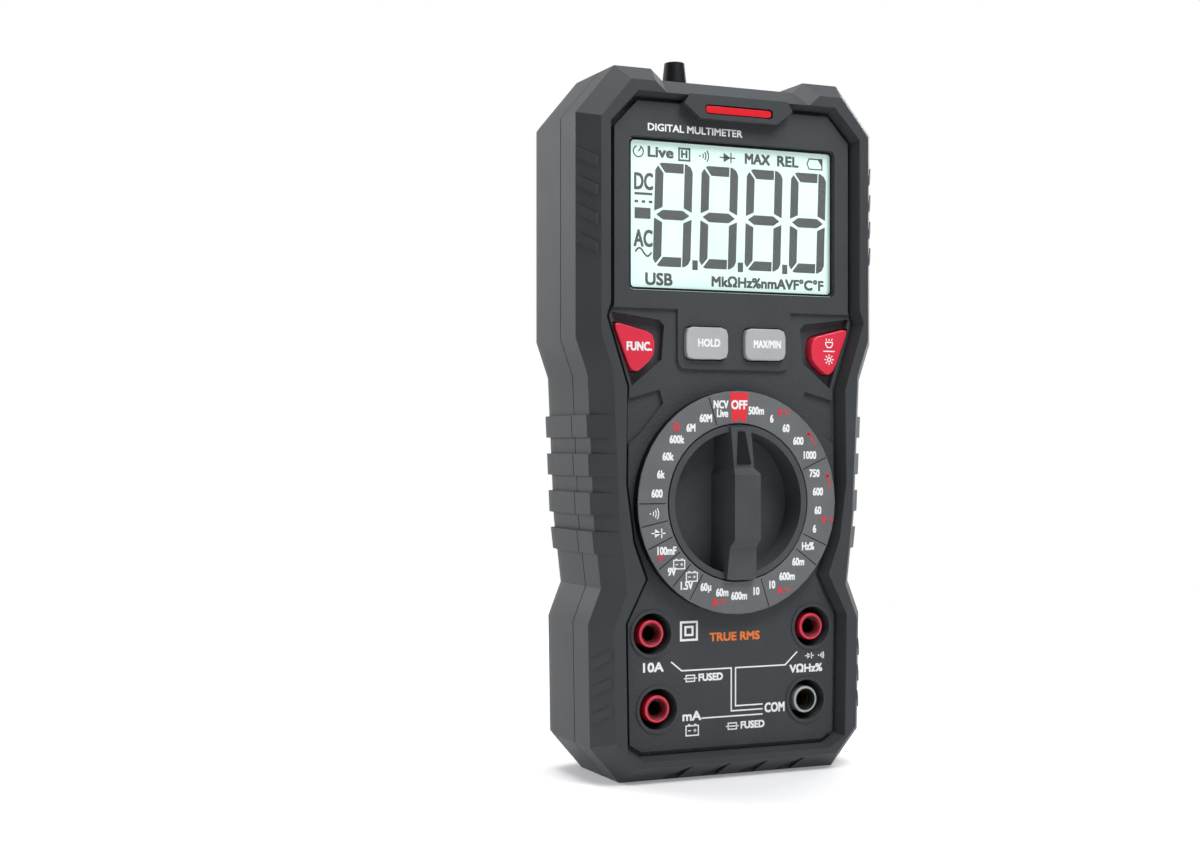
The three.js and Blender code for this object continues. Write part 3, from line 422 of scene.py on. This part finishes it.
def digit(bm, x, z, y):
    """Seven bars: straight uprights on the right, slanted joints on the left."""
    w, h, b, c = DIGIT_HALF, DIGIT_RISE, BAR, CUT
    upper_left = [
        (-w, 0.35 * b), (-w, h - 0.75 * b), (-w + 0.3 * b, h - 0.3 * b),
        (-w + b - c, h - b - c), (-w + b - c, 0.6 * b + 3 * c),
    ]
    upper_right = [
        (w, 0.35 * b), (w, h - 0.8 * b), (w - 0.25 * b, h - 0.3 * b), (w - 0.7 * b, h - 0.03 * b),
        (w - b + c, h), (w - b + c, 0.6 * b + 3 * c),
    ]
    top = [
        (-w + 0.45 * b, h - 0.12 * b), (-w + 0.75 * b, h), (w - b - c, h),
        (w - b - c, h - b), (-w + 1.15 * b, h - b),
    ]
    centre = [
        (-w + 0.25 * b, 0), (-w + b, 0.5 * b), (w - b, 0.5 * b),
        (w - 0.25 * b, 0), (w - b, -0.5 * b), (-w + b, -0.5 * b),
    ]
    for outline in (upper_left, upper_right, top):
        for side in (1, -1):
            flat_shape(bm, [(x + u + LEAN * side * v, z + side * v) for u, v in outline], y)
    flat_shape(bm, [(x + u, z + v) for u, v in centre], y)


def plate(bm, low, high):
    """Adds a block between two corners."""
    grown = bmesh.ops.create_cube(bm, size=1)
    size = [b - a for a, b in zip(low, high)]
    centre = [(a + b) / 2 for a, b in zip(low, high)]
    bmesh.ops.scale(bm, verts=grown["verts"], vec=size)
    bmesh.ops.translate(bm, verts=grown["verts"], vec=centre)


display_y = lens_high[1] + 0.12 * MM  # the face with the painted glow lies close behind the lens
DISPLAY_DEPTH = 0.1 * MM
TOP_ROW = 0.915  # places on the display are shares of the lens's width and height
MODE_COLUMN = 0.076
DIGIT_STEP = 0.2228
FIRST_DIGIT, DIGIT_ROW = 0.2165, 0.505
FIRST_POINT, POINT_ROW = 0.323, 0.178
INK_LINE = 0.32 * MM


def on_display(u, v):
    width = lens_high[0] - lens_low[0]
    height = lens_high[2] - lens_low[2]
    return lens_low[0] + u * width, lens_low[2] + v * height


def display_face():
    """The ground that the digits stand on, with its corners rounded; it carries a painted glow."""
    bm = bmesh.new()
    back = display_y + DISPLAY_DEPTH
    plate(bm, (lens_low[0], display_y, lens_low[2]), (lens_high[0], back, lens_high[2]))
    upright = [e for e in bm.edges if abs(e.verts[0].co.y - e.verts[1].co.y) > DISPLAY_DEPTH / 2]
    bmesh.ops.bevel(
        bm, geom=upright, offset=0.4 * MM, affect="EDGES", segments=4, profile=0.5, material=-1,
    )
    return piece_from(bm, "display_face", "display", "case")


def display_digits(bm, y):
    for i in range(4):
        digit(bm, *on_display(FIRST_DIGIT + DIGIT_STEP * i, DIGIT_ROW), y)
    for i in range(3):
        oblong(bm, *on_display(FIRST_POINT + DIGIT_STEP * i, POINT_ROW), 1.5 * MM, 2.4 * MM, y)


def display_words(bm, y):
    for text, u, v, cap, span in (
        ("Live", 0.156, TOP_ROW, 2.6, 6.8),
        ("H", 0.271, TOP_ROW, 1.8, 1.5),
        ("MAX", 0.629, TOP_ROW, 2.6, 7.0),
        ("REL", 0.782, TOP_ROW, 2.6, 6.0),
        ("DC", MODE_COLUMN, 0.712, 4.2, 4.9),
        ("AC", MODE_COLUMN, 0.335, 4.2, 4.9),
        ("USB", 0.148, 0.07, 3.0, 7.2),
        ("MkΩHz%nmAVF°C°F", 0.684, 0.071, 2.5, 32),
    ):
        x, z = on_display(u, v)
        print_on(bm, text, x, y, z, cap * MM, width=span * MM, bold=0.13 * MM)


def clock_sign(bm, x, z, y):
    """An open ring with one hand, for the automatic switch-off."""
    stroke(bm, arc(x, z, 1.35 * MM, 20, 340, 20), y, INK_LINE)
    stroke(bm, [(x, z), (x + 0.7 * MM, z + 0.9 * MM)], y, INK_LINE)


def hold_frame(bm, x, z, y):
    """The square round the letter H."""
    reach = 1.45 * MM
    thick = 0.45 * MM
    for side in (-1, 1):
        oblong(bm, x + side * reach, z, thick, 3.4 * MM, y)
        oblong(bm, x, z + side * reach, 3.3 * MM, thick, y)


def charge_sign(bm, x, z, y):
    """A battery with one corner filled in."""
    cell = [(-2.2, 0), (-1.6, 1.3), (2.2, 1.3), (2.2, -1.3), (-1.6, -1.3)]
    closed_stroke(bm, [(x + a * MM, z + b * MM) for a, b in cell], y, INK_LINE)
    corner = [(0.9, 1.3), (2.2, 1.3), (2.2, -0.6)]
    flat_shape(bm, [(x + a * MM, z + b * MM) for a, b in corner], y)


def display_signs(bm, y):
    clock_sign(bm, *on_display(0.052, TOP_ROW), y)
    hold_frame(bm, *on_display(0.271, TOP_ROW), y)
    sound_mark(bm, *on_display(0.369, TOP_ROW), 1.6 * MM, y, INK_LINE)
    diode_mark(bm, *on_display(0.482, TOP_ROW), 2.2 * MM, y, INK_LINE)
    charge_sign(bm, *on_display(0.921, TOP_ROW), y)
    direct_mark(bm, *on_display(MODE_COLUMN, 0.61), 2.4 * MM, y, 0.6 * MM)
    oblong(bm, *on_display(0.072, 0.507), 4.3 * MM, 2.7 * MM, y)
    sine_mark(bm, *on_display(MODE_COLUMN, 0.25), 2.2 * MM, y, 0.45 * MM)


def display_ink():
    """Every segment of the display is drawn as if lit."""
    bm = bmesh.new()
    y = display_y - LIFT
    display_digits(bm, y)
    display_words(bm, y)
    display_signs(bm, y)
    return finished_print(bm, "display_segments", "segment", "case")


def rounded_box(x0, x1, z0, z1, radius):
    """Points round a rectangle with round corners."""
    points = []
    for x, z, turn in ((x1, z1, 0), (x1, z0, 90), (x0, z0, 180), (x0, z1, 270)):
        centre_x = x - radius if x == x1 else x + radius
        centre_z = z - radius if z == z1 else z + radius
        points += arc(centre_x, centre_z, radius, turn, turn + 90, 4)
    return points


def lens_edge_painted_shade():
    """A black ring round the lens: painted shade along the edge of the lens's recess."""
    bm = bmesh.new()
    edge = 0.55 * MM
    corner = 1.1 * MM
    proud = 0.06 * MM
    x0, x1 = lens_low[0] + edge / 2, lens_high[0] - edge / 2
    z0, z1 = lens_low[2] + edge / 2, lens_high[2] - edge / 2
    closed_stroke(bm, rounded_box(x0, x1, z0, z1, corner), lens_low[1] - proud, edge)
    return finished_print(bm, "lens_edge_painted_shade", "black", "case")


# ---------------------------------------------------------------- dial printing
POSITIONS = [
    "", "500m", "6", "60", "600", "1000", "750", "600", "60", "6", "Hz%", "60m", "600m", "10",
    "10", "600m", "60m", "60µ", "1.5V", "9V", "100mF", "", "", "600", "6k", "60k", "600k", "6M",
    "60M", "",
]
STEP = 12  # degrees between two positions
DIVIDERS = [66, 114, 126, 162, 210, 222, 234, 246, 258, 270, 342]


UNIT_MARKS = [("V", 29, direct_mark), ("V", 101, sine_mark), ("A", 151, sine_mark), ("A", 194, direct_mark)]
DIODE_POSITION = 21
SOUND_POSITION = 22
OFF_HALF = 5.6  # degrees from the middle of the red sector to its side
NOTCH_HALF = 1.8
NUMERALS = {"cap": 1.95 * MM, "narrow": 0.74, "bold": 0.09 * MM}
print_inner = knob_radius + 0.8 * MM
print_outer = ring_radius - 0.4 * MM
dial_ink_y = ring_y - LIFT


def on_dial(radius, angle):
    turn = math.radians(angle)
    return dial_x + radius * math.sin(turn), dial_z + radius * math.cos(turn)


def dial_numerals():
    bm = bmesh.new()
    y = dial_ink_y
    for i, words in enumerate(POSITIONS):
        angle = STEP * i
        x, z = on_dial(print_inner + (2.6 if len(words) < 4 else 3.1) * MM, angle)
        if words.endswith("V"):
            x, z = on_dial(print_outer - 2.3 * MM, angle)
            cell_mark(bm, *on_dial(print_inner + 2.2 * MM, angle), 1.5 * MM, y, 0.28 * MM)
        if words:
            print_on(bm, words, x, y, z, **NUMERALS)
    for words, radius in (("NCV", print_outer - 2.6 * MM), ("Live", print_inner + 2.4 * MM)):
        x, z = on_dial(radius, -STEP)
        print_on(bm, words, x, y, z, **NUMERALS)
    diode_mark(bm, *on_dial(print_inner + 3.2 * MM, DIODE_POSITION * STEP), 1.9 * MM, y, 0.3 * MM)
    sound_mark(bm, *on_dial(print_inner + 3.2 * MM, SOUND_POSITION * STEP), 1.5 * MM, y, 0.24 * MM)
    x, z = on_dial(print_outer - 3.2 * MM, 0)
    print_on(bm, "OFF", x, y - 2 * PRINT, z, 2.2 * MM, width=4.3 * MM, bold=0.1 * MM)
    finished_print(bm, "dial_numerals", "print_white", "case")


def off_sector(bm, y):
    """The red sector under OFF, with a notch at its foot."""
    rim = [on_dial(print_outer, -OFF_HALF + OFF_HALF * i / 4) for i in range(9)]
    notch = [(print_inner, NOTCH_HALF), (print_inner + 1.1 * MM, 0), (print_inner, -NOTCH_HALF)]
    foot = [on_dial(*place) for place in ((print_inner, OFF_HALF), *notch, (print_inner, -OFF_HALF))]
    flat_shape(bm, [*rim, *foot], y)


def range_arrow(bm, angle, y, width):
    """A curved arrow along the ring's edge."""
    radius = print_outer - 1.1 * MM
    stroke(bm, arc(dial_x, dial_z, radius, angle - 4, angle + 4, 6), y, width)
    head = [(radius, -5.5), (print_outer - 0.5 * MM, -2.5), (print_outer - 1.7 * MM, -2.5)]
    flat_shape(bm, [on_dial(place, angle + turn) for place, turn in head], y)


def dial_colour_marks():
    bm = bmesh.new()
    y = dial_ink_y
    line = 0.3 * MM
    off_sector(bm, y)
    for letter, angle, sign in UNIT_MARKS:
        x, z = on_dial(print_outer - 2 * MM, angle)
        print_on(bm, letter, x - 0.6 * MM, y, z, 1.9 * MM, narrow=0.85, bold=0.1 * MM)
        sign(bm, x + 1.5 * MM, z + 0.2 * MM, 0.8 * MM, y, line)
    for letter, angle in (("Ω", 317), ("F", 238)):
        x, z = on_dial(print_outer - 1.9 * MM, angle)
        print_on(bm, letter, x, y, z, 1.8 * MM, narrow=0.85, bold=0.1 * MM)
    for angle in (53, 79):
        range_arrow(bm, angle, y, line)
    finished_print(bm, "dial_colour_marks", "print_red", "case")


def dial_dividers():
    bm = bmesh.new()
    for angle in DIVIDERS:
        stroke(bm, [on_dial(print_inner, angle), on_dial(print_outer, angle)], dial_ink_y, 0.22 * MM)
    finished_print(bm, "dial_dividers", "black", "case")


# ---------------------------------------------------------------- knob pointer
def knob_pointer():
    """A dark wedge let into the grip bar's upper end."""
    bm = bmesh.new()
    grip_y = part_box("selector_knob")[0][1]
    low_z, high_z = dial_z + 9.6 * MM, dial_z + 17.6 * MM
    near, far = grip_y + 2.05 * MM, grip_y + 3.35 * MM  # the bar's end slopes back
    wide, slim = 1.9 * MM, 0.9 * MM
    corners = [(-wide, near, low_z), (wide, near, low_z), (slim, far, high_z), (-slim, far, high_z)]
    thicken(bm, [bm.faces.new([bm.verts.new(corner) for corner in corners])], 0.25 * MM)
    finished_print(bm, "knob_pointer", "black", "knob")


# ---------------------------------------------------------------- button labels
def button_label(node, name, draw):
    bm = bmesh.new()
    low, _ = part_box(node)
    x, _, z = middle(node)
    draw(bm, x, low[1] - LIFT, z)
    finished_print(bm, name, "print_white", body_of[node])


def worded(words, cap, width, aside):
    """Draws words, with their sizes and their shift to the right in mm."""
    def draw(bm, x, y, z):
        print_on(bm, words, x + aside * MM, y, z, cap * MM, width=width * MM, bold=0.1 * MM)
    return draw


def light_symbols(bm, x, y, z):
    """A torch over a line over a sun."""
    line = 0.28 * MM
    x -= 0.3 * MM
    stroke(bm, [(x - 1.7 * MM, z), (x + 1.7 * MM, z)], y, line)
    torch = [(-1.0, 2.3), (1.0, 2.3), (1.0, 1.7), (0.5, 1.0), (-0.5, 1.0), (-1.0, 1.7)]
    closed_stroke(bm, [(x + a * MM, z + b * MM) for a, b in torch], y, line)
    for tilt in (-0.7, 0, 0.7):
        stroke(bm, [(x + tilt * MM, z + 2.7 * MM), (x + 1.3 * tilt * MM, z + 3.2 * MM)], y, line)
    sun = z - 2.1 * MM
    stroke(bm, arc(x, sun, 0.5 * MM, 0, 360, 12), y, line)
    for i in range(8):
        ray = [arc(x, sun, radius * MM, 45 * i, 45 * i, 1)[0] for radius in (0.85, 1.35)]
        stroke(bm, ray, y, line)


# ---------------------------------------------------------------- panel printing
def leader_lines(bm, start, bar, row, y):
    """Lines that lead from the sockets to the common socket's label."""
    line = 0.35 * MM
    elbow = 0.6 * MM
    end = 8.3 * MM
    low, mid, high = row - 2.9 * MM, row - 1.6 * MM, row - 0.4 * MM
    left = [(-17.3 * MM, bar + 2.3 * MM), (-14.4 * MM, bar), (-elbow, bar), (-elbow, mid), (end, mid)]
    right = [(18.3 * MM, bar + 3.2 * MM), (14.8 * MM, bar), (elbow, bar), (elbow, high), (end, high)]
    for points in (left, right, [(start, low), (end, low)]):
        stroke(bm, points, y, line)


def panel_labels():
    """Labels, symbols and lines between the sockets."""
    bm = bmesh.new()
    y = panel_y - LIFT
    amp, volt, milliamp, common = [middle(f"{use}_socket_sleeve") for use in SOCKETS]
    row = (milliamp[2] + common[2]) / 2
    upper_fuse = volt[2] - 11.4 * MM
    lower_fuse = row - 5.4 * MM
    volt_signs = volt[2] - 7.4 * MM
    for words, x, z, cap, width in (
        ("10A", amp[0], amp[2] - 8.3 * MM, 2.3, 5.4),
        ("COM", common[0] - 9.1 * MM, row - 1.5 * MM, 2.4, 5.6),
        ("mA", milliamp[0] + 9.2 * MM, row - 2.3 * MM, 2.3, 5.0),
        ("VΩHz%", volt[0] - 1.6 * MM, volt[2] - 10.6 * MM, 2.0, 9.4),
        ("FUSED", -6.4 * MM, upper_fuse, 1.8, 6.6),
        ("FUSED", 5.4 * MM, lower_fuse, 1.8, 6.6),
    ):
        print_on(bm, words, x, y, z, cap * MM, width=width * MM, bold=0.1 * MM)
    square_mark(bm, amp[0] + 10.1 * MM, amp[2] + 0.3 * MM, 2.2 * MM, y, 0.55 * MM)
    fuse_mark(bm, -12 * MM, upper_fuse, 1.8 * MM, y, 0.3 * MM)
    fuse_mark(bm, -0.3 * MM, lower_fuse, 1.8 * MM, y, 0.3 * MM)
    cell_mark(bm, milliamp[0] + 9.4 * MM, row - 5.8 * MM, 1.7 * MM, y, 0.32 * MM)
    diode_mark(bm, volt[0] - 0.6 * MM, volt_signs, 1.3 * MM, y, 0.25 * MM)
    sound_mark(bm, volt[0] + 2.9 * MM, volt_signs, 1.0 * MM, y, 0.25 * MM)
    leader_lines(bm, milliamp[0] + 12 * MM, amp[2] - 9.4 * MM, row, y)
    finished_print(bm, "panel_labels", "print_white", "case")


def rms_label():
    bm = bmesh.new()
    z = middle("amp_socket_sleeve")[2] - 1.6 * MM
    print_on(bm, "TRUE RMS", 0.4 * MM, panel_y - LIFT, z, 2.1 * MM, width=14 * MM, bold=0.1 * MM)
    finished_print(bm, "panel_rms_label", "print_orange", "case")


def bezel_heading():
    bm = bmesh.new()
    x = (lens_low[0] + lens_high[0]) / 2 - 11 * MM
    z = lens_high[2] + 2.6 * MM
    print_on(bm, "DIGITAL MULTIMETER", x, bezel_y - LIFT, z, 1.8 * MM, width=26 * MM, bold=0.06 * MM)
    finished_print(bm, "bezel_heading", "print_white", "case")


# ---------------------------------------------------------------- studio
VIEW_TURN = math.radians(23.9)  # the viewer stands this far round to the left of the front
FLOOR_RADIUS = 0.45
LAMP_TARGET = Vector((0, 0, 0.1))
LAMPS = {  # place and size in metres, power in watts
    "side": ((-0.72, 0.85, 0.40), 0.5, 5.5),
    "front": ((0.07, -0.24, 0.48), 0.25, 2.0),
    "top": ((-0.1, 0.34, 1.0), 0.4, 4.8),
    "rim": ((0.85, 0.55, 0.4), 0.5, 4),
}


def pale_floor():
    """A white disc that also glows a little, so that its edge is lost in the sky."""
    bm = bmesh.new()
    bmesh.ops.create_circle(bm, cap_ends=True, segments=64, radius=FLOOR_RADIUS)
    mesh = bpy.data.meshes.new("floor")
    bm.to_mesh(mesh)
    bm.free()
    floor = bpy.data.objects.new("floor", mesh)
    bpy.context.scene.collection.objects.link(floor)
    finish = grained("pale_floor", (0.80, 0.80, 0.80), 0.7, grain_mm=8, grain_depth=0.01, mottle=0.01)
    shader = shader_of(finish)
    shader.inputs["Emission Color"].default_value = (1, 1, 1, 1)
    shader.inputs["Emission Strength"].default_value = 0.22
    mesh.materials.append(finish)


def lamps():
    for name, (place, size, power) in LAMPS.items():
        light = bpy.data.lights.new(name, "AREA")
        light.size = size
        light.energy = power
        lamp = bpy.data.objects.new(name, light)
        lamp.location = place
        lamp.rotation_euler = (LAMP_TARGET - Vector(place)).to_track_quat("-Z", "Y").to_euler()
        bpy.context.scene.collection.objects.link(lamp)


def studio():
    bpy.context.scene.view_settings.view_transform = "Standard"
    pale_floor()
    sky()
    lamps()


def sky():
    """A white wall behind the meter, and a dimmer room elsewhere."""
    world = bpy.data.worlds.new("studio")
    bpy.context.scene.world = world
    world.use_nodes = True
    nodes, links = world.node_tree.nodes, world.node_tree.links
    direction = nodes.new("ShaderNodeTexCoord")
    towards = nodes.new("ShaderNodeVectorMath")
    towards.operation = "DOT_PRODUCT"
    towards.inputs[1].default_value = (math.sin(VIEW_TURN), math.cos(VIEW_TURN), 0)
    shade = nodes.new("ShaderNodeValToRGB")
    shade.color_ramp.elements[0].position = 0.5
    shade.color_ramp.elements[0].color = (0.26, 0.27, 0.29, 1)
    shade.color_ramp.elements[1].position = 0.82
    shade.color_ramp.elements[1].color = (1, 1, 1, 1)
    links.new(direction.outputs["Generated"], towards.inputs[0])
    links.new(towards.outputs["Value"], shade.inputs["Fac"])
    links.new(shade.outputs["Color"], nodes["Background"].inputs["Color"])
    nodes["Background"].inputs["Strength"].default_value = 1


LENS_LENGTH = 52.5  # in mm, on a sensor of SENSOR_WIDTH
SENSOR_WIDTH = 36
VIEW_SHIFT = 0.0146  # share of the picture's width that the view is moved up by
EYE_X, EYE_Z = -0.2072, 0.0822
EYE_DISTANCE = 0.3855  # in front of the panel


def camera():
    data = bpy.data.cameras.new("view")
    data.lens = LENS_LENGTH
    data.sensor_width = SENSOR_WIDTH
    data.shift_y = VIEW_SHIFT
    thing = bpy.data.objects.new("view", data)
    thing.location = (EYE_X, panel_y - EYE_DISTANCE, EYE_Z)
    thing.rotation_euler = (math.radians(90), 0, -VIEW_TURN)
    bpy.context.scene.collection.objects.link(thing)
    bpy.context.scene.camera = thing


# ---------------------------------------------------------------- build
EDGE_ROUNDS = {  # in mm
    "front_bumper": 0.45, "front_case": 0.15, "rear_case": 0.5, "dial_plate": 0.25, "selector_knob": 0.35,
    "function_button": 0.5, "light_button": 0.5, "hold_button": 0.6, "max_min_button": 0.6,
    "kickstand": 0.3, "hanging_pad": 0.3, "torch_hood": 0.2, "alarm_light_guide": 0.15,
    **{f"{use}_socket_sleeve": 0.3 for use in SOCKETS},
}

camera()
studio()
dress_frame()
skins = {node: softened(node, node + "_skin", width * MM) for node, width in EDGE_ROUNDS.items()}
# The dial plate's side walls, inside and out, are painted black: painted shade in the gaps round the raised
# plate and round the knob.
paint(skins["dial_plate"], "black", lambda centre, normal: abs(normal.y) < 0.3)
# The inner walls of the sockets are painted: dark red painted shade inside the red sleeves, black painted
# shade inside the common one.
for use in SOCKETS:
    sleeve = f"{use}_socket_sleeve"
    paint(skins[sleeve], "black" if use == "common" else "painted_socket_shade", inner_wall(sleeve))
display_face()
display_ink()
lens_edge_painted_shade()
dial_numerals()
dial_colour_marks()
dial_dividers()
knob_pointer()
button_label("function_button", "function_label", worded("FUNC.", 2.1, 6.6, 1.3))
button_label("hold_button", "hold_label", worded("HOLD", 1.9, 6.0, 0.4))
button_label("max_min_button", "max_min_label", worded("MAX/MIN", 1.9, 7.6, 0.4))
button_label("light_button", "light_label", light_symbols)
panel_labels()
rms_label()
bezel_heading()
